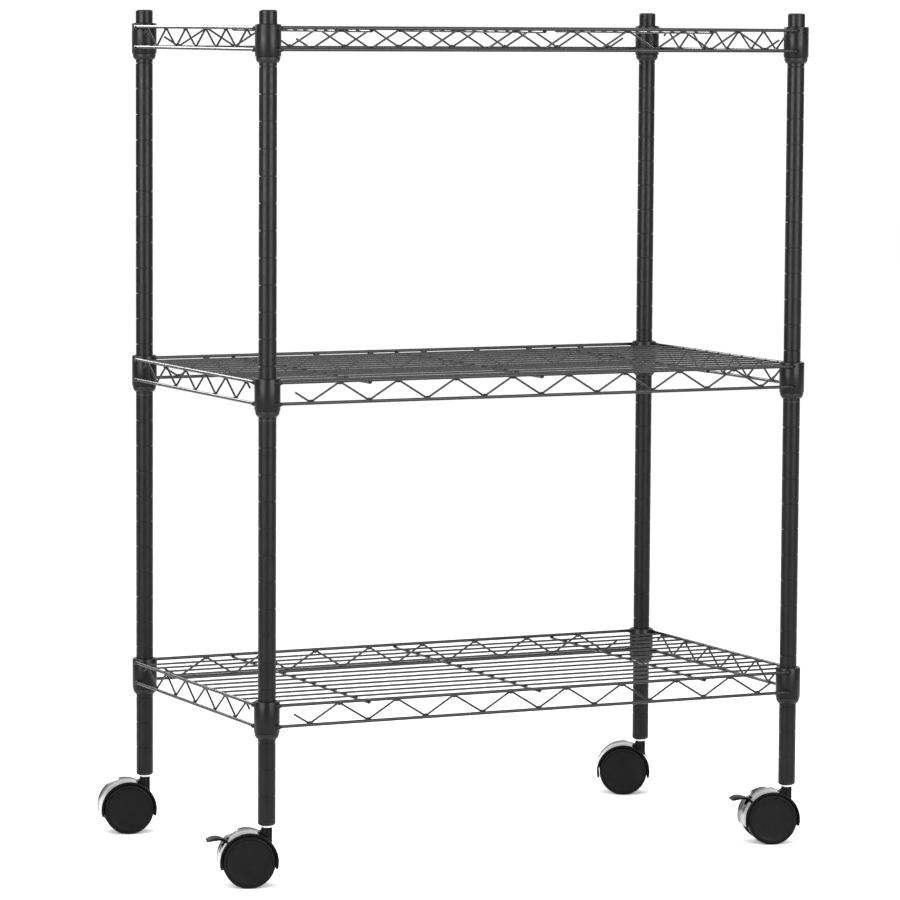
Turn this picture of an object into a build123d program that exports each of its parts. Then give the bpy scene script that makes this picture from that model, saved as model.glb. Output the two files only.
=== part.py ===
"""Three-tier wire shelf cart on four hooded twin-wheel casters, two of them with brakes.

Millimetres, +Z up. The origin is on the floor under the middle of the four posts.
+X runs along the shelves' long side, and the cart's front is the -Y side.
"""

import os
from math import cos, radians, sin

from build123d import *

os.makedirs("parts", exist_ok=True)

# ---------------------------------------------------------------- driving dimensions
# posts
post_span_x = 564.5         # between post centres, long side
post_span_y = 311.5         # between post centres, short side
post_length = 762.0         # 30 inches, in two sections
post_radius = 8.5
post_wall = 1.2
groove_pitch = 25.4
groove_depth = 0.3
groove_width = 1.8
cap_height = 1.6
foot_height = 3.0           # the foot insert below the tube

# shelves
collar_radius = 12.3
collar_height = 30.5
collar_below_top = 11.5     # top collar under the tube's end
collar_chamfer = 0.8
clip_drop = 5.5             # the clip shows this far under its collar
clip_radius_top = 10.0      # collar bore and clip share one slight cone, wider at the bottom
clip_radius_bottom = 10.7
clip_lip_radius = 11.5      # the clip's thicker end, under the collar
clip_lip_end_radius = 9.4
clip_lip_gap = 0.3
clip_split = 0.6            # between the two halves of a clip
shelf_groove = {"top": 1, "middle": 14, "bottom": 26}
rim_radius = 1.6
rim_below_collar_top = 3.7
rim_spacing = 20.0          # between the upper and the lower rim wire
rim_offset = 11.0           # a rim wire's line runs this far outside the posts' centres
rim_end_gap = 5.5           # a rim wire ends in the collar, this short of the post's centre
truss_radius = 1.0
truss_pitch_x = 60.5
truss_pitch_y = 50.4
deck_radius = 1.0
deck_count = 12
deck_pitch = 24.6
cross_radius = 1.25
cross_pitch = 181.5
weld = 0.2                  # how far welded wires sink into each other
truss_lap = 0.8             # truss bends lie this far inside the rim wires' centre lines
truss_bend = 2.0
truss_stub_x = 16.0         # a truss's free ends, past its last bends
truss_stub_y = 8.0

# casters
caster_height = 57.5        # floor to the underside of the foot insert
wheel_radius = 25.0
wheel_face = 18.2           # outer face, from the caster's middle
wheel_inner_side = 7.2
drum_radius = 11.5
trail = 18.0                # wheel axis behind the swivel axis
hood_radius = 28.0
hood_wall = 2.2
hood_half_width = 19.0
web_half = 2.5
neck_radius = 5.3
axle_radius = 3.0
kingpin_radius = 3.0
stem_radius = 4.0
flange_thickness = 1.6
stem_thread_length = 22.0
kingpin_length = 25.0
kingpin_socket = 26.0
axle_half = 14.0
hub_radius = 7.5
hub_inner_side = 3.0        # the wheels' hubs begin this far from the caster's middle
disc_inner_side = 14.6      # back of a wheel's outer disc
tread_bore = 21.4
face_radius = 22.2          # the dished face inside the tread ring
face_step = 0.7
face_dish = 1.5
face_dish_radius = 17.0
tread_round = 1.4
lever_pin_radius = 1.25
lever_pin_at = (14.0, 15.0)     # from the wheel axis, in the caster's middle plane
lever_pin_half = 6.6
lever_fit = 0.6                 # gap beside the lever's shank
ear_middle = 5.8
lever_half = 4.6
pedal_half = 10.0
running = 0.05              # radial clearance of a turning fit
tight = 0.02                # radial clearance of a pressed-in pin

# outlines in a caster's middle plane, from the wheel axis: x trails, y points up
hood_mouth = [(-45, -24.4), (-27.2, -6.6), (-25.3, -4.7), (25.3, -4.7), (27.2, -6.6), (45, -24.4),
              (45, -60), (-45, -60)]
hood_lever_slot = [(18, 10), (30, 15.5), (24, 27), (15, 18)]
hood_gusset = [(-17, 29.4), (-14.6, 29.4), (-7.5, 24.5), (-9, 20), (-17, 20)]
lever_ear = [(11.8, 17.2), (16.2, 12.9), (20.0, 16.6), (15.6, 20.9)]

# which way each caster trails at rest, in degrees from +X
trail_angle = {"front_left": 163.0, "front_right": 164.5, "rear_left": 166.0, "rear_right": 153.0}
braked = ["front_left", "front_right"]

# ---------------------------------------------------------------- derived places
corners = {
    "front_left": (-post_span_x / 2, -post_span_y / 2),
    "front_right": (post_span_x / 2, -post_span_y / 2),
    "rear_left": (-post_span_x / 2, post_span_y / 2),
    "rear_right": (post_span_x / 2, post_span_y / 2),
}
post_bottom = caster_height + foot_height
post_top = post_bottom + post_length
post_joint = post_bottom + post_length / 2
tube_bore = post_radius - post_wall
plug_radius = tube_bore - running
rim_x = post_span_x / 2 + rim_offset
rim_y = post_span_y / 2 + rim_offset
truss_inset = rim_radius + truss_radius - weld          # the truss is on the rim's inner side


def upright(x, y, z=0.0):
    """A plane through a post's axis: its x is radial and its y points up."""
    return Plane(origin=(x, y, z), x_dir=(1, 0, 0), z_dir=(0, -1, 0))


def write(piece, name):
    piece.part.label = name
    export_step(piece.part, f"parts/{name}.step")


# ---------------------------------------------------------------- posts
def post_section(name, x, y, z_low):
    """Half a post: a tube with a rolled groove every inch and a plain end at the joint."""
    length = post_length / 2
    groove_count = round(length / groove_pitch) - 1
    with BuildPart() as section:
        with BuildSketch(upright(x, y, z_low)):
            with Locations((tube_bore + post_wall / 2, length / 2)):
                Rectangle(post_wall, length)
            places = [(post_radius, groove_pitch * k) for k in range(1, groove_count + 1)]
            with Locations(*places):
                Polygon(
                    (-groove_depth, -groove_width / 6), (0.2, -groove_width / 2),
                    (0.2, groove_width / 2), (-groove_depth, groove_width / 6),
                    align=None, mode=Mode.SUBTRACT,
                )
        revolve(axis=Axis((x, y, 0), (0, 0, 1)))
    write(section, name)


for corner, (x, y) in corners.items():
    post_section(f"{corner}_post_upper", x, y, post_joint)
    post_section(f"{corner}_post_lower", x, y, post_bottom)

# threaded inserts in the tube ends at the joint, two to a post
insert_length = 18.0
with BuildPart() as inserts:
    for x, y in corners.values():
        for z_low in (post_joint + 0.2, post_joint - 0.2 - insert_length):
            with BuildSketch(Plane.XY.offset(z_low)):
                with Locations((x, y)):
                    Circle(plug_radius)
                    Circle(stem_radius + running, mode=Mode.SUBTRACT)
            extrude(amount=insert_length)
write(inserts, "post_joint_inserts")

# the studs that join the two sections of each post
stud_length = 34.0
with BuildPart() as studs:
    for x, y in corners.values():
        with BuildSketch(Plane.XY.offset(post_joint - stud_length / 2)):
            with Locations((x, y)):
                Circle(stem_radius)
        extrude(amount=stud_length)
    chamfer(studs.edges().filter_by(GeomType.CIRCLE), 0.8)
write(studs, "post_joint_studs")

# caps: a low rounded head over a plug
cap_plug = 10.0
with BuildPart() as caps:
    for x, y in corners.values():
        with BuildSketch(upright(x, y, post_top)):
            with BuildLine():
                Polyline((0, -cap_plug), (plug_radius, -cap_plug), (plug_radius, 0), (post_radius, 0))
                Line((post_radius, 0), (post_radius, cap_height - 1.2))
                RadiusArc((post_radius, cap_height - 1.2), (post_radius - 1.2, cap_height), -1.2)
                Polyline((post_radius - 1.2, cap_height), (0, cap_height), (0, -cap_plug))
            make_face()
        revolve(axis=Axis((x, y, 0), (0, 0, 1)))
write(caps, "post_caps")

# foot inserts: a rounded plug with a threaded hole for the caster's stem
foot_plug = 24.0
foot_round = 2.6
with BuildPart() as feet:
    for x, y in corners.values():
        hole = stem_radius + running
        with BuildSketch(upright(x, y, post_bottom)):
            with BuildLine():
                Polyline((hole, foot_plug), (plug_radius, foot_plug), (plug_radius, 0), (post_radius, 0))
                Line((post_radius, 0), (post_radius, foot_round - foot_height))
                RadiusArc((post_radius, foot_round - foot_height),
                          (post_radius - foot_round, -foot_height), foot_round)
                Polyline((post_radius - foot_round, -foot_height), (hole, -foot_height),
                         (hole, foot_plug))
            make_face()
        revolve(axis=Axis((x, y, 0), (0, 0, 1)))
write(feet, "foot_inserts")


# ---------------------------------------------------------------- shelves
def straight_wire(start, direction, length, radius):
    """Adds a straight round wire to the part that is being built."""
    with BuildSketch(Plane(origin=start, z_dir=direction)) as section:
        Circle(radius)
    extrude(section.sketch, amount=length)


def truss_points(last_node, pitch, z_node, z_other, stub):
    """A zigzag's points, along one side: z_node at the end nodes, and a short free end past each."""
    count = round(2 * last_node / pitch)
    points = []
    for k in range(count + 1):
        points.append((-last_node + k * pitch, z_node))
        if k < count:
            points.append((-last_node + (k + 0.5) * pitch, z_other))
    stub_z = z_node + (z_other - z_node) * stub / (pitch / 2)
    return [(-last_node - stub, stub_z), *points, (last_node + stub, stub_z)]


def truss_wire(points, place):
    """Sweeps one bent truss wire through points, which place() puts in space."""
    with BuildLine() as path:
        FilletPolyline(*[place(along, z) for along, z in points], radius=truss_bend)
    with BuildSketch(Plane(origin=path.line @ 0, z_dir=path.line % 0)) as section:
        Circle(truss_radius)
    sweep(section.sketch, path=path.line)


def shelf(name, collar_top):
    """One shelf: rim, trusses, deck, cross wires, corner collars and the clips inside them."""
    rim_upper = collar_top - rim_below_collar_top
    rim_lower = rim_upper - rim_spacing
    reach_x = post_span_x / 2 - rim_end_gap
    reach_y = post_span_y / 2 - rim_end_gap

    with BuildPart() as rim:
        for z in (rim_upper, rim_lower):
            for side in (-1, 1):
                straight_wire((-reach_x, side * rim_y, z), (1, 0, 0), 2 * reach_x, rim_radius)
                straight_wire((side * rim_x, -reach_y, z), (0, 1, 0), 2 * reach_y, rim_radius)
        chamfer(rim.edges().filter_by(GeomType.CIRCLE), 0.5)
    write(rim, f"{name}_shelf_rim_wires")

    high = rim_upper - truss_lap
    low = rim_lower + truss_lap
    long_zigzag = truss_points(4 * truss_pitch_x, truss_pitch_x, low, high, truss_stub_x)
    short_zigzag = truss_points(2.5 * truss_pitch_y, truss_pitch_y, high, low, truss_stub_y)
    with BuildPart() as truss:
        for side in (-1, 1):
            truss_wire(long_zigzag, lambda along, z: (along, side * (rim_y - truss_inset), z))
            truss_wire(short_zigzag, lambda along, z: (side * (rim_x - truss_inset), along, z))
    write(truss, f"{name}_shelf_truss_wires")

    cross_z = rim_upper - rim_radius - cross_radius + weld
    with BuildPart() as cross:
        for x in (-cross_pitch, 0, cross_pitch):
            straight_wire((x, -rim_y, cross_z), (0, 1, 0), 2 * rim_y, cross_radius)
    write(cross, f"{name}_shelf_cross_wires")

    deck_z = cross_z + cross_radius + deck_radius - weld
    with BuildPart() as deck:
        for k in range(deck_count):
            y = (k - (deck_count - 1) / 2) * deck_pitch
            straight_wire((-rim_x, y, deck_z), (1, 0, 0), 2 * rim_x, deck_radius)
    write(deck, f"{name}_shelf_deck_wires")

    with BuildPart() as collars:
        for x, y in corners.values():
            with BuildSketch(upright(x, y, collar_top)):
                Polygon(
                    (clip_radius_top + running, 0),
                    (collar_radius - collar_chamfer, 0), (collar_radius, -collar_chamfer),
                    (collar_radius, collar_chamfer - collar_height),
                    (collar_radius - collar_chamfer, -collar_height),
                    (clip_radius_bottom + running, -collar_height), align=None,
                )
            revolve(axis=Axis((x, y, 0), (0, 0, 1)))
    write(collars, f"{name}_shelf_collars")

    # two half clips at each post, with a rib in the groove and a small gap between them
    groove_z = post_top - shelf_groove[name] * groove_pitch - collar_top
    clip_low = -collar_height - clip_drop
    lip_top = -collar_height - clip_lip_gap
    bore = post_radius + running
    rib = post_radius - groove_depth + 0.15
    with BuildPart() as clips:
        for x, y in corners.values():
            with BuildSketch(upright(x, y, collar_top)):
                Polygon(
                    (bore, -0.4), (clip_radius_top, -0.4),
                    (clip_radius_bottom, -collar_height), (clip_radius_bottom, lip_top),
                    (clip_lip_radius, lip_top), (clip_lip_radius - 0.3, lip_top - clip_drop / 2),
                    (clip_lip_end_radius, clip_low), (bore, clip_low),
                    (bore, groove_z - 1.0), (rib, groove_z - 0.3),
                    (rib, groove_z + 0.3), (bore, groove_z + 1.0),
                    align=None,
                )
            revolve(axis=Axis((x, y, 0), (0, 0, 1)))
            with BuildSketch(Plane.XY.offset(collar_top + clip_low)):
                with Locations((x, y)):
                    Rectangle(3 * collar_radius, clip_split)
            extrude(amount=collar_height + clip_drop, mode=Mode.SUBTRACT)
    write(clips, f"{name}_shelf_clips")


for name, groove in shelf_groove.items():
    shelf(name, post_top - collar_below_top - (groove - 1) * groove_pitch)


# ---------------------------------------------------------------- casters
def side_plane(corner):
    """The caster's middle plane at the wheel centre: x trails, y points up."""
    x, y = corners[corner]
    angle = radians(trail_angle[corner])
    centre = (x + trail * cos(angle), y + trail * sin(angle), wheel_radius)
    return Plane(origin=centre, x_dir=(cos(angle), sin(angle), 0), z_dir=(sin(angle), -cos(angle), 0))


def caster_stem(corner):
    """Zinc stem: a threaded end up in the foot, a flange, and the kingpin below."""
    x, y = corners[corner]
    flange_low = caster_height - 0.1 - flange_thickness
    with BuildPart() as stem:
        with BuildSketch(Plane.XY.offset(flange_low)):
            with Locations((x, y)):
                Circle(neck_radius)
        extrude(amount=flange_thickness)
        with BuildSketch(Plane.XY.offset(flange_low)):
            with Locations((x, y)):
                Circle(stem_radius)
        extrude(amount=stem_thread_length)
        with BuildSketch(Plane.XY.offset(flange_low)):
            with Locations((x, y)):
                Circle(kingpin_radius)
        extrude(amount=-kingpin_length)
    write(stem, f"{corner}_caster_stem")


def caster_hood(corner):
    """One moulding: the hood over both wheels, the web and hub for the axle, and the neck."""
    plane = side_plane(corner)
    x, y = corners[corner]
    inner = hood_radius - hood_wall
    neck_top = caster_height - flange_thickness - 0.4
    with BuildPart() as hood:
        with BuildSketch(plane):
            Circle(hood_radius)
        extrude(amount=hood_half_width, both=True)
        fillet(hood.edges().filter_by(GeomType.CIRCLE), 1.2)
        with BuildSketch(plane):
            Circle(inner)
        extrude(amount=hood_half_width + 1, both=True, mode=Mode.SUBTRACT)
        with BuildSketch(plane):
            Polygon(*hood_mouth, align=None)
        extrude(amount=hood_half_width + 1, both=True, mode=Mode.SUBTRACT)
        if corner in braked:
            # slot for the lever's shank
            with BuildSketch(plane):
                Polygon(*hood_lever_slot, align=None)
            extrude(amount=lever_half + lever_fit, both=True, mode=Mode.SUBTRACT)
        # web and hub between the wheels
        with BuildSketch(plane):
            Circle(inner + 0.6)
            with Locations((6 + 30, 0)):
                Rectangle(60, 120, mode=Mode.SUBTRACT)
            with Locations((0, -3 - 30)):
                Rectangle(120, 60, mode=Mode.SUBTRACT)
            Circle(hub_radius)
        extrude(amount=web_half, both=True)
        # neck with its gusset
        with BuildSketch(Plane.XY.offset(wheel_radius - 2)):
            with Locations((x, y)):
                Circle(neck_radius)
        extrude(amount=neck_top - wheel_radius + 2)
        with BuildSketch(plane):
            Polygon(*hood_gusset, align=None)
        extrude(amount=4.2, both=True)
        if corner in braked:
            # ears for the lever's pin
            for side in (-1, 1):
                with BuildSketch(plane.offset(side * ear_middle)):
                    Polygon(*lever_ear, align=None)
                    with Locations(lever_pin_at):
                        Circle(3.0)
                extrude(amount=0.8, both=True)
            with BuildSketch(plane):
                with Locations(lever_pin_at):
                    Circle(lever_pin_radius + tight)
            extrude(amount=8, both=True, mode=Mode.SUBTRACT)
        # kingpin socket and axle hole
        with BuildSketch(Plane.XY.offset(neck_top)):
            with Locations((x, y)):
                Circle(kingpin_radius + running)
        extrude(amount=-kingpin_socket, mode=Mode.SUBTRACT)
        with BuildSketch(plane):
            Circle(axle_radius + tight)
        extrude(amount=8, both=True, mode=Mode.SUBTRACT)
    write(hood, f"{corner}_caster_hood")


def caster_axle(corner):
    with BuildPart() as axle:
        with BuildSketch(side_plane(corner)):
            Circle(axle_radius)
        extrude(amount=axle_half, both=True)
        chamfer(axle.edges().filter_by(GeomType.CIRCLE), 0.4)
    write(axle, f"{corner}_caster_axle")


def caster_wheel(corner, side, name):
    """A nylon wheel: tread ring, shallow dished face, and a hub with the blind axle bore."""
    plane = side_plane(corner)
    out = plane.z_dir * side
    section = Plane(origin=plane.origin, x_dir=(0, 0, 1), z_dir=Vector(0, 0, 1).cross(out))
    # in the section, x is the radius and y is the distance from the caster's middle
    with BuildPart() as wheel:
        with BuildSketch(section):
            Polygon(
                (axle_radius + running, hub_inner_side), (drum_radius, hub_inner_side),
                (drum_radius, disc_inner_side), (tread_bore, disc_inner_side),
                (tread_bore, wheel_inner_side), (wheel_radius - 1.0, wheel_inner_side),
                (wheel_radius, wheel_inner_side + 1.0), (wheel_radius, wheel_face),
                (face_radius, wheel_face), (face_radius - 0.6, wheel_face - face_step),
                (face_dish_radius, wheel_face - face_dish), (0, wheel_face - face_dish),
                (0, disc_inner_side), (axle_radius + running, disc_inner_side), align=None,
            )
        revolve(axis=Axis(plane.origin, out))
        tread_edge = wheel.edges().filter_by(GeomType.CIRCLE).filter_by(
            lambda edge: abs(edge.radius - wheel_radius) < 0.01)
        fillet(tread_edge.sort_by(Axis(plane.origin, out))[-1], tread_round)
    write(wheel, name)


def brake_lever(corner):
    """Foot lever: a wing-shaped pedal, a shank through the hood's slot, and a toe over the drums."""
    plane = side_plane(corner)
    with BuildPart() as lever:
        with BuildSketch(plane):
            with BuildLine():
                Spline((24.2, 21.0), (28.5, 22.3), (33.0, 22.0), (40.0, 18.9))
                Line((40.0, 18.9), (39.8, 17.6))
                Spline((39.8, 17.6), (33.0, 19.7), (28.6, 19.6), (25.6, 18.4))
                Line((25.6, 18.4), (24.2, 21.0))
            make_face()
        extrude(amount=pedal_half, both=True)
        with BuildSketch(plane):
            with BuildLine():
                Spline((24.8, 21.4), (20.5, 19.0), (14.6, 18.2))
                Polyline((14.6, 18.2), (11.4, 16.6), (12.0, 5.9), (15.2, 5.7), (16.6, 12.0))
                Spline((16.6, 12.0), (20.5, 14.9), (26.2, 18.9))
                Line((26.2, 18.9), (24.8, 21.4))
            make_face()
        extrude(amount=lever_half, both=True)
        with BuildSketch(plane):
            with Locations(lever_pin_at):
                Circle(lever_pin_radius + running)
        extrude(amount=lever_half + 1, both=True, mode=Mode.SUBTRACT)
    write(lever, f"{corner}_brake_lever")

    with BuildPart() as pin:
        with BuildSketch(plane):
            with Locations(lever_pin_at):
                Circle(lever_pin_radius)
        extrude(amount=lever_pin_half, both=True)
    write(pin, f"{corner}_brake_pin")


for corner in corners:
    caster_stem(corner)
    caster_hood(corner)
    caster_axle(corner)
    # the section plane's normal points to the back of the cart, so its reverse is the front
    caster_wheel(corner, -1, f"{corner}_wheel_front")
    caster_wheel(corner, 1, f"{corner}_wheel_back")
    if corner in braked:
        brake_lever(corner)
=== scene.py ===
"""Three-tier wire shelf cart on casters: the looks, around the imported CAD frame."""

from math import atan2, cos, pi, radians, sin

import bpy
from mathutils import Matrix, Vector


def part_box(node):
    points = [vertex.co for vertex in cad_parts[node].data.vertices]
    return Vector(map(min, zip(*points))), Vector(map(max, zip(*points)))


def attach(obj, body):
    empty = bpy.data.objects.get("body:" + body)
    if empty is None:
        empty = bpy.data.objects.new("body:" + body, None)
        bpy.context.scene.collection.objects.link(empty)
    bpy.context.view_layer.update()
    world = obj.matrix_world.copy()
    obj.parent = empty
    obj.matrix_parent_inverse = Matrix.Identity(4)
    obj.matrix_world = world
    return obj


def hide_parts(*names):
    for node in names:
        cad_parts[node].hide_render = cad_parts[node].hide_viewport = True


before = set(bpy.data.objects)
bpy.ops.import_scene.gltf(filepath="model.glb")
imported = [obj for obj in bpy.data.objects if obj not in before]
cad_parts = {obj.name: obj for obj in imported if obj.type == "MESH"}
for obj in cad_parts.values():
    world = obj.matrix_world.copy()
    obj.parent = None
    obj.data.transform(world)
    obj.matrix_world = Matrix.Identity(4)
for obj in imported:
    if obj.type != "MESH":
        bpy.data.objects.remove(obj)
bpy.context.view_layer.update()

# ---------------------------------------------------------------- the studio
# A long lens a little above the top shelf's height, seen from the cart's front left,
# a white floor, a pale surround, two tall softboxes beside the camera and others behind.
camera_data = bpy.data.cameras.new("camera")
camera_data.lens = 178.9
camera = bpy.data.objects.new("camera", camera_data)
bpy.context.scene.collection.objects.link(camera)
camera_stand = (-1.928, -3.9938, 0.8141)
camera.location = camera_stand
camera_turn, camera_dip, camera_roll = radians(-25.559), radians(5.472), radians(0.331)
camera.rotation_euler = (
    Matrix.Rotation(camera_turn, 3, "Z")
    @ Matrix.Rotation(pi / 2 - camera_dip, 3, "X")
    @ Matrix.Rotation(camera_roll, 3, "Z")
).to_euler()
bpy.context.scene.camera = camera
bpy.context.scene.view_settings.view_transform = "Standard"

bpy.ops.object.select_all(action="DESELECT")
bpy.ops.mesh.primitive_circle_add(vertices=128, radius=14, fill_type="NGON")
floor = bpy.context.object
floor.name = "floor"
floor_paint = bpy.data.materials.new("white floor")
floor_paint.use_nodes = True
floor_shader = floor_paint.node_tree.nodes["Principled BSDF"]
floor_shader.inputs["Base Color"].default_value = (0.9, 0.9, 0.9, 1)
floor_shader.inputs["Roughness"].default_value = 0.9
floor_shader.inputs["Specular IOR Level"].default_value = 0.1
floor.data.materials.append(floor_paint)

# the surround is pale grey, and white straight behind the cart
surround = bpy.data.worlds.new("surround")
surround.use_nodes = True
bpy.context.scene.world = surround
sky = surround.node_tree
sky_direction = sky.nodes.new("ShaderNodeTexCoord")
sky_split = sky.nodes.new("ShaderNodeVectorMath")
sky_split.operation = "DOT_PRODUCT"
sky_split.inputs[1].default_value = (0.43, 0.90, 0.0)
sky_range = sky.nodes.new("ShaderNodeMapRange")
sky_range.inputs["From Min"].default_value = 0.78
sky_range.inputs["From Max"].default_value = 0.96
sky_range.inputs["To Min"].default_value = 0.45
sky_range.inputs["To Max"].default_value = 1.1
sky.nodes["Background"].inputs["Color"].default_value = (1, 1, 1, 1)
sky.links.new(sky_direction.outputs["Generated"], sky_split.inputs[0])
sky.links.new(sky_split.outputs["Value"], sky_range.inputs["Value"])
sky.links.new(sky_range.outputs["Result"], sky.nodes["Background"].inputs["Strength"])

camera_azimuth = atan2(camera_stand[1], camera_stand[0])


def softbox(name, from_camera, distance, low, high, width, power):
    """A tall softbox that faces the cart, from_camera degrees round from the camera."""
    light_data = bpy.data.lights.new(name, "AREA")
    light_data.shape = "RECTANGLE"
    light_data.size = width
    light_data.size_y = high - low
    light_data.energy = power
    light_data.spread = radians(100)
    light = bpy.data.objects.new(name, light_data)
    bpy.context.scene.collection.objects.link(light)
    azimuth = camera_azimuth + radians(from_camera)
    light.location = (distance * cos(azimuth), distance * sin(azimuth), (low + high) / 2)
    light.rotation_euler = (pi / 2, 0, azimuth + pi / 2)
    light.visible_camera = False


softbox("left softbox", -41, 3.0, 0.4, 2.5, 2.0, 60)
softbox("right softbox", 41, 3.0, 0.4, 2.5, 2.0, 56)
softbox("rear left softbox", -139, 2.6, 1.35, 2.7, 1.7, 55)
softbox("rear right softbox", 150, 2.6, 1.35, 2.7, 1.7, 20)
ceiling_light = bpy.data.lights.new("ceiling light", "SUN")
ceiling_light.energy = 2.1
ceiling_light.angle = radians(90)
ceiling = bpy.data.objects.new("ceiling light", ceiling_light)
bpy.context.scene.collection.objects.link(ceiling)
ceiling.location = (0, 0, 3)

# ---------------------------------------------------------------- posts
# Rolled steel tubes in two lengths each, grooved every inch, under a baked black epoxy coat:
# a satin black with a faint orange-peel skin and dust-fine mottling.


def finish(name, colour, roughness, specular=0.5, metallic=0.0):
    """A new finish with its plain values set, and its node tree to build on."""
    material = bpy.data.materials.new(name)
    material.use_nodes = True
    shader = material.node_tree.nodes["Principled BSDF"]
    shader.inputs["Base Color"].default_value = (*colour, 1)
    shader.inputs["Roughness"].default_value = roughness
    shader.inputs["Specular IOR Level"].default_value = specular
    shader.inputs["Metallic"].default_value = metallic
    return material


def noise_on(material, scale, detail=3.0):
    """Noise over the piece's own coordinates, scale to the metre."""
    tree = material.node_tree
    place = tree.nodes.new("ShaderNodeTexCoord")
    noise = tree.nodes.new("ShaderNodeTexNoise")
    noise.inputs["Scale"].default_value = scale
    noise.inputs["Detail"].default_value = detail
    tree.links.new(place.outputs["Object"], noise.inputs["Vector"])
    return noise.outputs["Fac"]


def mottled(material, fac, dark, light):
    """The colour wanders between two near shades."""
    tree = material.node_tree
    ramp = tree.nodes.new("ShaderNodeValToRGB")
    ramp.color_ramp.elements[0].position = 0.3
    ramp.color_ramp.elements[0].color = (*dark, 1)
    ramp.color_ramp.elements[1].position = 0.7
    ramp.color_ramp.elements[1].color = (*light, 1)
    tree.links.new(fac, ramp.inputs["Fac"])
    tree.links.new(ramp.outputs["Color"], tree.nodes["Principled BSDF"].inputs["Base Color"])


def uneven_gloss(material, fac, low, high):
    """The roughness wanders between two values."""
    tree = material.node_tree
    spread = tree.nodes.new("ShaderNodeMapRange")
    spread.inputs["From Min"].default_value = 0.3
    spread.inputs["From Max"].default_value = 0.7
    spread.inputs["To Min"].default_value = low
    spread.inputs["To Max"].default_value = high
    tree.links.new(fac, spread.inputs["Value"])
    tree.links.new(spread.outputs["Result"], tree.nodes["Principled BSDF"].inputs["Roughness"])


def skin(material, fac, depth, strength=1.0):
    """A fine relief, depth metres from its low to its high points."""
    tree = material.node_tree
    bump = tree.nodes.new("ShaderNodeBump")
    bump.inputs["Strength"].default_value = strength
    bump.inputs["Distance"].default_value = depth
    tree.links.new(fac, bump.inputs["Height"])
    tree.links.new(bump.outputs["Normal"], tree.nodes["Principled BSDF"].inputs["Normal"])


epoxy = finish("black epoxy on steel", (0.003, 0.003, 0.0032), 0.32, 0.15)
mottled(epoxy, noise_on(epoxy, 55), (0.002, 0.002, 0.0022), (0.0042, 0.0042, 0.0045))
uneven_gloss(epoxy, noise_on(epoxy, 140), 0.29, 0.4)
skin(epoxy, noise_on(epoxy, 620, 2), 0.00006, 0.5)


def coat(material, *nodes):
    """Gives CAD nodes their finish."""
    for node in nodes:
        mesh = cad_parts[node].data
        mesh.materials.clear()
        mesh.materials.append(material)


corners = ("front_left", "front_right", "rear_left", "rear_right")
for corner in corners:
    coat(epoxy, f"{corner}_post_upper", f"{corner}_post_lower")

post_centre = {}
for corner in corners:
    low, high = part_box(f"{corner}_post_upper")
    post_centre[corner] = Vector(((low.x + high.x) / 2, (low.y + high.y) / 2, 0))
post_joint_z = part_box("front_left_post_upper")[0].z
post_top_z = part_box("front_left_post_upper")[1].z

# ---------------------------------------------------------------- ends of the posts
# Black moulded caps closing the tubes, foot plugs that take the casters, and the thin bare
# line where a post's two lengths screw together.


def fresh_start():
    """Back to object mode with nothing selected, so an operator acts on its new piece only."""
    if bpy.context.mode != "OBJECT":
        bpy.ops.object.mode_set(mode="OBJECT")
    bpy.ops.object.select_all(action="DESELECT")


def only(piece):
    """One finished piece selected and active, for an operator that works on it."""
    fresh_start()
    piece.select_set(True)
    bpy.context.view_layer.objects.active = piece


def drawn(points):
    """An open chain of edges through points, left in edit mode with all of it selected."""
    fresh_start()
    bpy.ops.mesh.primitive_plane_add(size=0.001, location=points[0])
    bpy.ops.object.mode_set(mode="EDIT")
    bpy.ops.mesh.select_all(action="SELECT")
    bpy.ops.mesh.merge(type="CENTER")
    for here, there in zip(points, points[1:]):
        bpy.ops.mesh.extrude_region_move(TRANSFORM_OT_translate={"value": there - here})
    bpy.ops.mesh.select_all(action="SELECT")


def turned(outline, steps=48, axis=(0, 0, 1)):
    """A turned piece: an outline in mm, (radius, height) pairs, drawn edge by edge and spun."""
    upright = Vector(axis)
    aside = Vector((1, 0, 0))
    drawn([(aside * radius + upright * height) / 1000 for radius, height in outline])
    bpy.ops.mesh.spin(steps=steps, angle=2 * pi, center=(0, 0, 0), axis=axis)
    bpy.ops.mesh.select_all(action="SELECT")
    bpy.ops.mesh.remove_doubles(threshold=2e-6)
    bpy.ops.mesh.normals_make_consistent(inside=False)
    bpy.ops.object.mode_set(mode="OBJECT")
    bpy.ops.object.transform_apply(location=True, rotation=True, scale=True)
    bpy.ops.object.shade_smooth_by_angle(angle=radians(38))
    return bpy.context.object


def placed(model, name, material, *places):
    """One piece made of copies of a model, each put in its place; the model stays where it is."""
    fresh_start()
    for place in places:
        twin = model.copy()
        twin.data = model.data.copy()
        twin.data.transform(place)
        bpy.context.scene.collection.objects.link(twin)
        twin.select_set(True)
        bpy.context.view_layer.objects.active = twin
    if len(places) > 1:
        bpy.ops.object.join()
    piece = bpy.context.view_layer.objects.active
    piece.name = piece.data.name = name
    piece.data.materials.clear()
    piece.data.materials.append(material)
    return piece


def put_away(*models):
    """Removes the models that the pieces were copied from."""
    for model in models:
        bpy.data.objects.remove(model)


plastic = finish("black moulded plastic", (0.005, 0.005, 0.005), 0.45, 0.2)
mottled(plastic, noise_on(plastic, 90), (0.004, 0.004, 0.004), (0.007, 0.007, 0.007))
uneven_gloss(plastic, noise_on(plastic, 260), 0.4, 0.52)
skin(plastic, noise_on(plastic, 2400, 4), 0.00005, 0.5)

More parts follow.
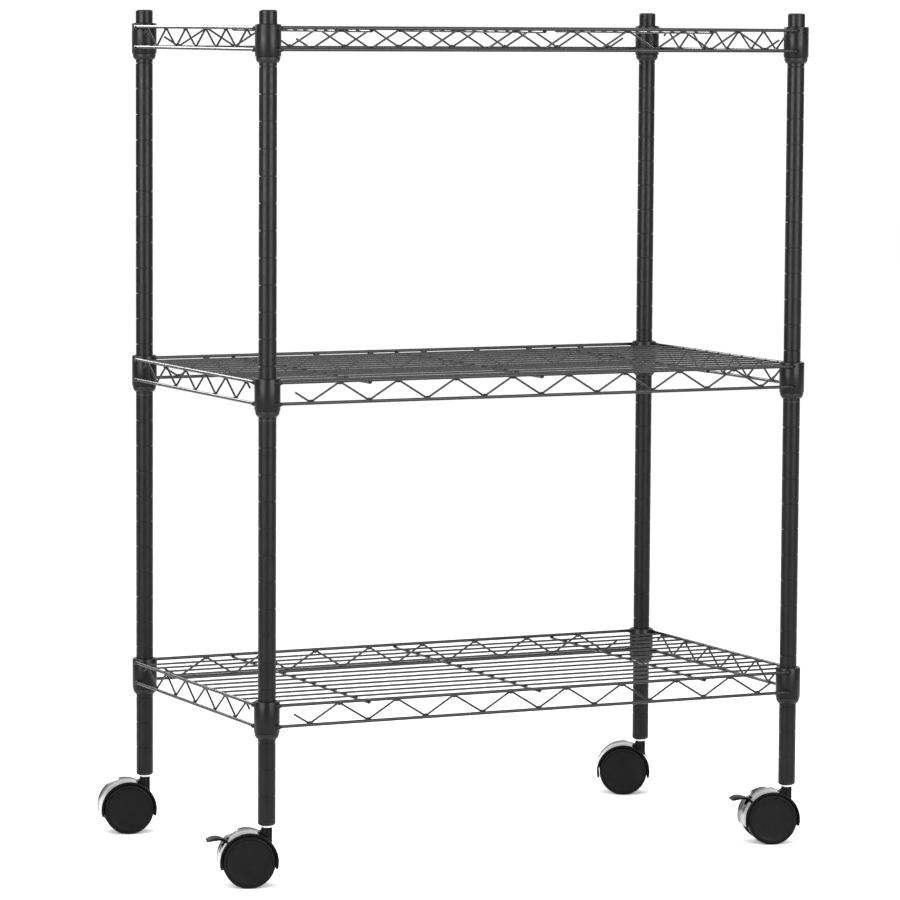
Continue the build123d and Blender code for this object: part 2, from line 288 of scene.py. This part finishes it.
cap = turned([
    (0, 1.25), (1.1, 1.25), (1.5, 1.45), (6.3, 1.58), (7.5, 1.45), (8.2, 1.05), (8.5, 0.45),
    (8.5, 0.0), (7.2, 0.0), (7.2, -9.0), (6.6, -10.0), (0, -10.0),
])
caps = placed(cap, "post_end_caps", plastic, *[
    Matrix.Translation(post_centre[corner] + Vector((0, 0, post_top_z))) for corner in corners])
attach(caps, "frame")
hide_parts("post_caps")
coat(plastic, "foot_inserts")

zinc = finish("zinc-plated steel", (0.62, 0.63, 0.65), 0.3, 0.5, 1.0)
mottled(zinc, noise_on(zinc, 300), (0.55, 0.56, 0.58), (0.68, 0.69, 0.7))
uneven_gloss(zinc, noise_on(zinc, 900), 0.22, 0.4)
skin(zinc, noise_on(zinc, 1800, 2), 0.00002, 0.4)
coat(zinc, "post_joint_inserts", "post_joint_studs")

dull_edge = finish("cut steel edge", (0.05, 0.05, 0.052), 0.45, 0.4, 0.6)
mottled(dull_edge, noise_on(dull_edge, 500), (0.035, 0.035, 0.036), (0.07, 0.07, 0.073))
uneven_gloss(dull_edge, noise_on(dull_edge, 900), 0.38, 0.55)
joint_line = turned([(8.35, -0.25), (8.53, -0.15), (8.53, 0.15), (8.35, 0.25), (8.35, -0.25)])
joint_lines = placed(joint_line, "post_joint_lines", dull_edge, *[
    Matrix.Translation(post_centre[corner] + Vector((0, 0, post_joint_z))) for corner in corners])
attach(joint_lines, "frame")
put_away(cap, joint_line)

# ---------------------------------------------------------------- shelf wires
# Cold-drawn rods, bent and welded, then coated black as one shelf: rims, trusses between
# them, cross rods, and the deck wires along the shelf. The coat runs smoother on thin wire.
wire_coat = finish("black epoxy on wire", (0.005, 0.005, 0.0053), 0.24, 0.25)
mottled(wire_coat, noise_on(wire_coat, 70), (0.004, 0.004, 0.0043), (0.0065, 0.0065, 0.0069))
uneven_gloss(wire_coat, noise_on(wire_coat, 160), 0.2, 0.32)
skin(wire_coat, noise_on(wire_coat, 900, 2), 0.00004, 0.4)
shelves = ("top", "middle", "bottom")
for shelf in shelves:
    coat(wire_coat, *[f"{shelf}_shelf_{wires}"
                      for wires in ("rim_wires", "truss_wires", "cross_wires", "deck_wires")])

# ---------------------------------------------------------------- weld beads
# Resistance welds wherever two wires touch, and short runs of weld from the rims to the
# corner collars, all under the same black coat.


def weld_row(place, size, count=1, step=(0, 0, 0)):
    """A row of equal beads in mm: a ball, squashed, its middle spread where it wet the wires."""
    fresh_start()
    bpy.ops.mesh.primitive_uv_sphere_add(segments=10, ring_count=6, radius=0.001)
    bead = bpy.context.object
    bpy.ops.object.mode_set(mode="EDIT")
    bpy.ops.mesh.select_mode(type="VERT")
    bpy.ops.mesh.select_all(action="DESELECT")
    bpy.ops.object.mode_set(mode="OBJECT")
    for corner_point in bead.data.vertices:
        corner_point.select = abs(corner_point.co.z) < 0.0001
    bpy.ops.object.mode_set(mode="EDIT")
    bpy.ops.transform.resize(value=(1.14, 1.14, 1))
    bpy.ops.mesh.select_all(action="SELECT")
    bpy.ops.transform.resize(value=size)
    bpy.ops.transform.translate(value=Vector(place) / 1000)
    bpy.ops.object.mode_set(mode="OBJECT")
    if count > 1:
        row = bead.modifiers.new("row", "ARRAY")
        row.count = count
        row.use_relative_offset = False
        row.use_constant_offset = True
        row.constant_offset_displace = Vector(step) / 1000
        bpy.ops.object.modifier_apply(modifier=row.name)
    return bead


rim_radius = 1.6
truss_pitch_x, truss_pitch_y = 60.5, 50.4
deck_pitch, cross_pitch = 24.6, 181.5
for shelf in shelves:
    low, high = (point * 1000 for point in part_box(f"{shelf}_shelf_rim_wires"))
    rim_x, rim_y = high.x - rim_radius, high.y - rim_radius
    rim_upper, rim_lower = high.z - rim_radius, low.z + rim_radius
    rows = []
    for side in (-1, 1):
        # trusses to rims
        inner = side * (rim_y - rim_radius)
        rows.append(weld_row((-4 * truss_pitch_x, inner, rim_lower + 1.5), (2.7, 1.6, 1.8),
                             9, (truss_pitch_x, 0, 0)))
        rows.append(weld_row((-3.5 * truss_pitch_x, inner, rim_upper - 1.7), (2.7, 1.6, 1.8),
                             8, (truss_pitch_x, 0, 0)))
        inner = side * (rim_x - rim_radius)
        rows.append(weld_row((inner, -2.5 * truss_pitch_y, rim_upper - 1.7), (1.6, 2.7, 1.8),
                             6, (0, truss_pitch_y, 0)))
        rows.append(weld_row((inner, -2 * truss_pitch_y, rim_lower + 1.5), (1.6, 2.7, 1.8),
                             5, (0, truss_pitch_y, 0)))
        # deck wires to the short rims, cross rods to the long ones
        rows.append(weld_row((side * (rim_x - 1.2), -5.5 * deck_pitch, rim_upper + 0.1),
                             (1.7, 1.9, 1.2), 12, (0, deck_pitch, 0)))
        rows.append(weld_row((-cross_pitch, side * (rim_y - 0.4), rim_upper - 2.2),
                             (2.0, 1.7, 1.5), 3, (cross_pitch, 0, 0)))
    # deck wires on the cross rods
    for k in (-1, 0, 1):
        rows.append(weld_row((k * cross_pitch, -5.5 * deck_pitch, rim_upper - 1.6),
                             (2.3, 2.1, 1.4), 12, (0, deck_pitch, 0)))
    # rims to collars
    for corner in corners:
        centre = post_centre[corner] * 1000
        to_x, to_y = (-1 if centre.x > 0 else 1), (-1 if centre.y > 0 else 1)
        for z in (rim_upper, rim_lower):
            rows.append(weld_row((centre.x + to_x * 7.0, centre.y - to_y * 11.3, z - 0.3),
                                 (4.4, 1.9, 2.3)))
            rows.append(weld_row((centre.x - to_x * 11.3, centre.y + to_y * 7.0, z - 0.3),
                                 (1.9, 4.4, 2.3)))
    fresh_start()
    for row in rows:
        row.select_set(True)
    bpy.context.view_layer.objects.active = rows[0]
    bpy.ops.object.join()
    welds = bpy.context.object
    bpy.ops.object.transform_apply(location=True, rotation=True, scale=True)
    bpy.ops.object.shade_smooth()
    welds.name = welds.data.name = f"{shelf}_shelf_weld_beads"
    welds.data.materials.clear()
    welds.data.materials.append(epoxy)
    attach(welds, "frame")

# ---------------------------------------------------------------- collars and clips
# A cast steel sleeve at each corner of a shelf, coated with it, jammed down on a two-part
# plastic clip whose rib sits in one of the post's grooves; the clip's lip shows below.
collar = turned([
    (10.1, 0.0), (11.5, 0.0), (12.05, -0.25), (12.3, -0.85), (12.3, -29.4), (12.0, -30.2),
    (11.4, -30.5), (10.8, -30.5), (10.1, 0.0),
], steps=64)
clip = turned([
    (8.56, -30.9), (8.56, -35.98), (9.3, -35.98), (9.75, -35.7), (11.0, -33.9), (11.2, -33.55),
    (11.05, -33.35), (11.05, -33.05), (11.3, -32.85), (11.5, -31.6), (11.42, -31.0),
    (11.2, -30.82), (8.56, -30.9),
], steps=64)
for shelf in shelves:
    collar_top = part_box(f"{shelf}_shelf_collars")[1].z
    places = [Matrix.Translation(post_centre[corner] + Vector((0, 0, collar_top)))
              for corner in corners]
    collars = placed(collar, f"{shelf}_shelf_corner_sleeves", epoxy, *places)
    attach(collars, "frame")
    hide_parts(f"{shelf}_shelf_collars")
    lips = placed(clip, f"{shelf}_shelf_clip_lips", plastic, *places)
    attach(lips, "frame")
    coat(plastic, f"{shelf}_shelf_clips")
put_away(collar, clip)

# ---------------------------------------------------------------- casters
# A zinc stem and kingpin in each foot, and a steel axle in the hood: one nylon moulding, its
# drum-shaped back polished, its rims, inside, web and neck matte and painted darker as painted
# shade.
gloss = finish("polished black moulding", (0.006, 0.006, 0.006), 0.2, 0.5)
gloss_shader = gloss.node_tree.nodes["Principled BSDF"]
gloss_shader.inputs["Coat Weight"].default_value = 0.6
gloss_shader.inputs["Coat Roughness"].default_value = 0.14
mottled(gloss, noise_on(gloss, 120), (0.004, 0.004, 0.004), (0.008, 0.008, 0.008))
uneven_gloss(gloss, noise_on(gloss, 200), 0.16, 0.26)
skin(gloss, noise_on(gloss, 260, 1), 0.00004, 0.25)
# Matte, and also darker and barely reflecting, which is painted shade: the hood's rims, inside, web
# and neck, and the levers.
dull_with_painted_shade = finish("dull black moulding with painted shade", (0.0015, 0.0015, 0.0015), 0.4, 0.06)
mottled(dull_with_painted_shade, noise_on(dull_with_painted_shade, 140), (0.001, 0.001, 0.001), (0.0024, 0.0024, 0.0024))
uneven_gloss(dull_with_painted_shade, noise_on(dull_with_painted_shade, 300), 0.34, 0.5)
skin(dull_with_painted_shade, noise_on(dull_with_painted_shade, 1700, 3), 0.00005, 0.5)


def caster_place(corner):
    """Where a caster stands: its wheel centre, turned the way it trails."""
    low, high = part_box(f"{corner}_caster_axle")
    wheel_centre = (low + high) / 2
    low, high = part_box(f"{corner}_caster_stem")
    trailing = wheel_centre - (low + high) / 2
    return (Matrix.Translation(wheel_centre)
            @ Matrix.Rotation(atan2(trailing.y, trailing.x), 4, "Z"))


def slab(outline, half_width, middle=0.0):
    """A plate in mm with an outline of (x, z) points, half_width each side of its middle."""
    drawn([Vector((x, middle - half_width, z)) / 1000 for x, z in outline])
    bpy.ops.mesh.edge_face_add()
    bpy.ops.mesh.extrude_region_move(
        TRANSFORM_OT_translate={"value": (0, 2 * half_width / 1000, 0)})
    bpy.ops.mesh.select_all(action="SELECT")
    bpy.ops.mesh.normals_make_consistent(inside=False)
    bpy.ops.object.mode_set(mode="OBJECT")
    bpy.ops.object.transform_apply(location=True, rotation=True, scale=True)
    plate = bpy.context.object
    soft_edges = plate.modifiers.new("soft edges", "BEVEL")
    soft_edges.width = 0.0003
    soft_edges.segments = 2
    soft_edges.angle_limit = radians(40)
    bpy.ops.object.modifier_apply(modifier=soft_edges.name)
    bpy.ops.object.shade_smooth_by_angle(angle=radians(38))
    return plate


def cut_out(piece, cutter):
    """Cuts a cutter's shape out of a piece, and removes the cutter."""
    only(piece)
    cut = piece.modifiers.new("cut", "BOOLEAN")
    cut.object = cutter
    bpy.ops.object.modifier_apply(modifier=cut.name)
    bpy.data.objects.remove(cutter)


hood_outline = [
    (25.8, -18.95), (25.8, 18.95), (26.8, 18.95), (27.4, 18.75), (27.8, 18.3), (27.95, 17.6),
    (27.95, 16.9), (27.75, 16.5), (27.75, -16.5), (27.95, -16.9), (27.95, -17.6), (27.8, -18.3),
    (27.4, -18.75), (26.8, -18.95), (25.8, -18.95),
]


def hood_shell(slotted):
    """The drum over both wheels, open below, with a bead along each rim."""
    first = radians(-14)
    drawn([Vector((radius * cos(first), y, radius * sin(first))) / 1000
           for radius, y in hood_outline])
    bpy.ops.mesh.spin(steps=104, angle=radians(208), center=(0, 0, 0), axis=(0, 1, 0))
    bpy.ops.mesh.select_all(action="SELECT")
    bpy.ops.mesh.remove_doubles(threshold=2e-6)
    bpy.ops.mesh.fill_holes(sides=0)
    bpy.ops.mesh.select_all(action="SELECT")
    bpy.ops.mesh.normals_make_consistent(inside=False)
    bpy.ops.object.mode_set(mode="OBJECT")
    bpy.ops.object.transform_apply(location=True, rotation=True, scale=True)
    shell = bpy.context.object
    if slotted:
        cut_out(shell, slab([(18, 10), (30, 15.5), (24, 27), (15, 18)], 5.2))
    only(shell)
    bpy.ops.object.shade_smooth_by_angle(angle=radians(34))
    return shell


def hood_core(braked):
    """What the drum is moulded with: the web and hub for the axle, the neck and its gusset."""
    neck = turned([(0, -2.0), (5.3, -2.0), (5.3, 29.6), (5.05, 30.2), (4.5, 30.5), (3.05, 30.5),
                   (3.05, 4.5), (0, 4.5)], steps=40)
    fresh_start()
    neck.select_set(True)
    bpy.ops.transform.translate(value=(-0.018, 0, 0))
    bpy.ops.object.transform_apply(location=True, rotation=True, scale=True)
    hub = turned([(3.02, -2.5), (7.2, -2.5), (7.5, -2.2), (7.5, 2.2), (7.2, 2.5), (3.02, 2.5),
                  (3.02, -2.5)], steps=40, axis=(0, 1, 0))
    arc = [(26.0 * cos(radians(bearing)), 26.0 * sin(radians(bearing)))
           for bearing in range(80, 186, 5)]
    web = slab([(4.5, 6.2), *arc, (-7.0, -3.0), (-7.0, 3.0), (-4.0, 6.5)], 2.5)
    gusset = slab([(-17, 29.4), (-14.6, 29.4), (-10.5, 26.6), (-7.5, 24.5), (-9, 20), (-17, 20)],
                  4.2)
    parts = [neck, hub, web, gusset]
    if braked:
        ear = [(11.8, 17.2), (16.2, 12.9), (20.0, 16.6), (15.6, 20.9)]
        parts += [slab(ear, 0.8, -5.8), slab(ear, 0.8, 5.8)]
    fresh_start()
    for part in parts:
        part.select_set(True)
    bpy.context.view_layer.objects.active = neck
    bpy.ops.object.join()
    return neck


braked_corners = ("front_left", "front_right")
polished_radius, polished_half_width = 0.0276, 0.0179
for corner in corners:
    shell, core = hood_shell(corner in braked_corners), hood_core(corner in braked_corners)
    place = caster_place(corner)
    drum = placed(shell, f"{corner}_hood_drum", gloss, place)
    drum.data.materials.append(dull_with_painted_shade)
    # The hood's inside and its side rims take the darker, barely reflecting moulding: painted
    # shade.
    for face in drum.data.polygons:
        at = place.inverted() @ face.center
        inside = Vector((at.x, at.z)).length < polished_radius
        if inside or abs(at.y) > polished_half_width:
            face.material_index = 1
    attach(drum, f"{corner}_caster")
    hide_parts(f"{corner}_caster_hood")
    # The web, hub, neck and gusset take the darker moulding too: painted shade.
    body = placed(core, f"{corner}_hood_core", dull_with_painted_shade, place)
    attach(body, f"{corner}_caster")
    coat(zinc, f"{corner}_caster_stem", f"{corner}_caster_axle")
    put_away(shell, core)

# ---------------------------------------------------------------- wheels
# Hard nylon twin wheels: a black tread ring moulded round a dark grey dished disc.
tread_nylon = finish("black tread nylon", (0.002, 0.002, 0.002), 0.5, 0.1)
mottled(tread_nylon, noise_on(tread_nylon, 150), (0.001, 0.001, 0.001), (0.003, 0.003, 0.003))
uneven_gloss(tread_nylon, noise_on(tread_nylon, 420), 0.42, 0.6)
skin(tread_nylon, noise_on(tread_nylon, 1900, 3), 0.00006, 0.5)
disc_nylon = finish("dark grey nylon", (0.0042, 0.0042, 0.0042), 0.42, 0.07)
mottled(disc_nylon, noise_on(disc_nylon, 130), (0.0035, 0.0035, 0.0035), (0.0052, 0.0052, 0.0052))
uneven_gloss(disc_nylon, noise_on(disc_nylon, 380), 0.38, 0.5)
skin(disc_nylon, noise_on(disc_nylon, 2100, 3), 0.00005, 0.5)

outward = (0, -1, 0)
tread = turned([
    (21.4, 7.2), (24.0, 7.2), (24.75, 7.5), (25.0, 8.2), (25.0, 16.8), (24.8, 17.5),
    (24.3, 18.0), (23.6, 18.2), (22.3, 18.2), (21.4, 17.3), (21.4, 7.2),
], steps=96, axis=outward)
disc = turned([
    (0, 16.55), (5.5, 16.6), (16.5, 16.75), (19.6, 17.05), (21.0, 17.5), (21.5, 17.55),
    (21.5, 14.6), (11.5, 14.6), (11.5, 3.0), (3.05, 3.0), (3.05, 14.2), (0, 14.2),
], steps=96, axis=outward)
half_turn = Matrix.Rotation(pi, 4, "Z")
for corner in corners:
    for side in ("front", "back"):
        place = caster_place(corner)
        # the trailing frame's -Y side is the cart's back, because a caster trails to -X
        place = place @ half_turn if side == "front" else place
        tyre = placed(tread, f"{corner}_{side}_tread", tread_nylon, place)
        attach(tyre, f"{corner}_wheel_{side}")
        face = placed(disc, f"{corner}_{side}_disc", disc_nylon, place)
        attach(face, f"{corner}_wheel_{side}")
        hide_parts(f"{corner}_wheel_{side}")
put_away(tread, disc)

# ---------------------------------------------------------------- brake levers
# Black moulded foot levers on the two front casters: a ridged wing for the shoe, a shank
# through the hood's slot, and a blunt nose that a press on the wing wedges on the wheels' hubs.


def pulled_bar(stations):
    """A bar in mm, drawn out along Y's middle plane: (x, z), lean, half width, half thickness."""
    (x, z), lean, half_width, half_thickness = stations[0]
    here = Vector((x, 0, z)) / 1000
    fresh_start()
    bpy.ops.mesh.primitive_plane_add(size=0.002, location=here,
                                     rotation=(0, pi / 2 - radians(lean), 0))
    bar = bpy.context.object
    bpy.ops.object.transform_apply(location=True, rotation=True, scale=True)
    bpy.ops.object.mode_set(mode="EDIT")
    bpy.ops.mesh.select_all(action="SELECT")
    bpy.ops.transform.resize(value=(half_thickness, half_width, half_thickness),
                             center_override=here)
    for (x, z), new_lean, new_width, new_thickness in stations[1:]:
        there = Vector((x, 0, z)) / 1000
        thicker, wider = new_thickness / half_thickness, new_width / half_width
        bpy.ops.mesh.extrude_region_move(TRANSFORM_OT_translate={"value": there - here})
        bpy.ops.transform.resize(value=(thicker, wider, thicker), center_override=there)
        bpy.ops.transform.rotate(value=radians(new_lean - lean), orient_axis="Y",
                                 center_override=there)
        here, lean, half_width, half_thickness = there, new_lean, new_width, new_thickness
    bpy.ops.mesh.select_all(action="SELECT")
    bpy.ops.mesh.normals_make_consistent(inside=False)
    bpy.ops.object.mode_set(mode="OBJECT")
    return bar


lever_pin_x, lever_pin_z = 0.014, 0.015
lever = pulled_bar([
    ((13.5, 6.4), 86, 4.3, 1.5), ((13.6, 9.4), 88, 4.5, 1.7), ((13.9, 12.4), 84, 4.6, 2.3),
    ((14.9, 15.2), 58, 4.6, 2.6), ((17.6, 17.0), 28, 4.6, 1.9), ((21.6, 18.7), 24, 4.6, 1.3),
    ((24.4, 19.9), 24, 5.2, 1.2), ((26.2, 20.5), 16, 7.6, 1.1), ((28.0, 20.9), 7, 9.2, 1.05),
    ((29.2, 20.9), 2, 9.7, 0.95), ((30.2, 20.9), -2, 9.9, 1.25), ((31.2, 20.85), -4, 10.0, 0.95),
    ((32.2, 20.75), -6, 10.0, 1.25), ((33.2, 20.6), -9, 9.9, 0.95), ((34.2, 20.4), -12, 9.8, 1.2),
    ((35.2, 20.15), -15, 9.5, 0.9), ((36.2, 19.85), -17, 9.1, 1.15), ((37.4, 19.4), -19, 8.5, 0.85),
    ((39.4, 18.7), -20, 7.2, 0.7),
])
fresh_start()
bpy.ops.mesh.primitive_cylinder_add(vertices=32, radius=0.0013, depth=0.02,
                                    location=(lever_pin_x, 0, lever_pin_z),
                                    rotation=(pi / 2, 0, 0))
drill = bpy.context.object
only(lever)
edges = lever.modifiers.new("moulded edges", "BEVEL")
edges.width = 0.00055
edges.segments = 3
edges.limit_method = "ANGLE"
edges.angle_limit = radians(50)
bpy.ops.object.modifier_apply(modifier=edges.name)
cut_out(lever, drill)
only(lever)
bpy.ops.object.shade_smooth_by_angle(angle=radians(42))
for corner in braked_corners:
    # The levers take the same darkened moulding, painted shade included.
    pedal = placed(lever, f"{corner}_foot_lever", dull_with_painted_shade, caster_place(corner))
    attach(pedal, f"{corner}_brake_lever")
    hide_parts(f"{corner}_brake_lever")
    coat(zinc, f"{corner}_brake_pin")
put_away(lever)
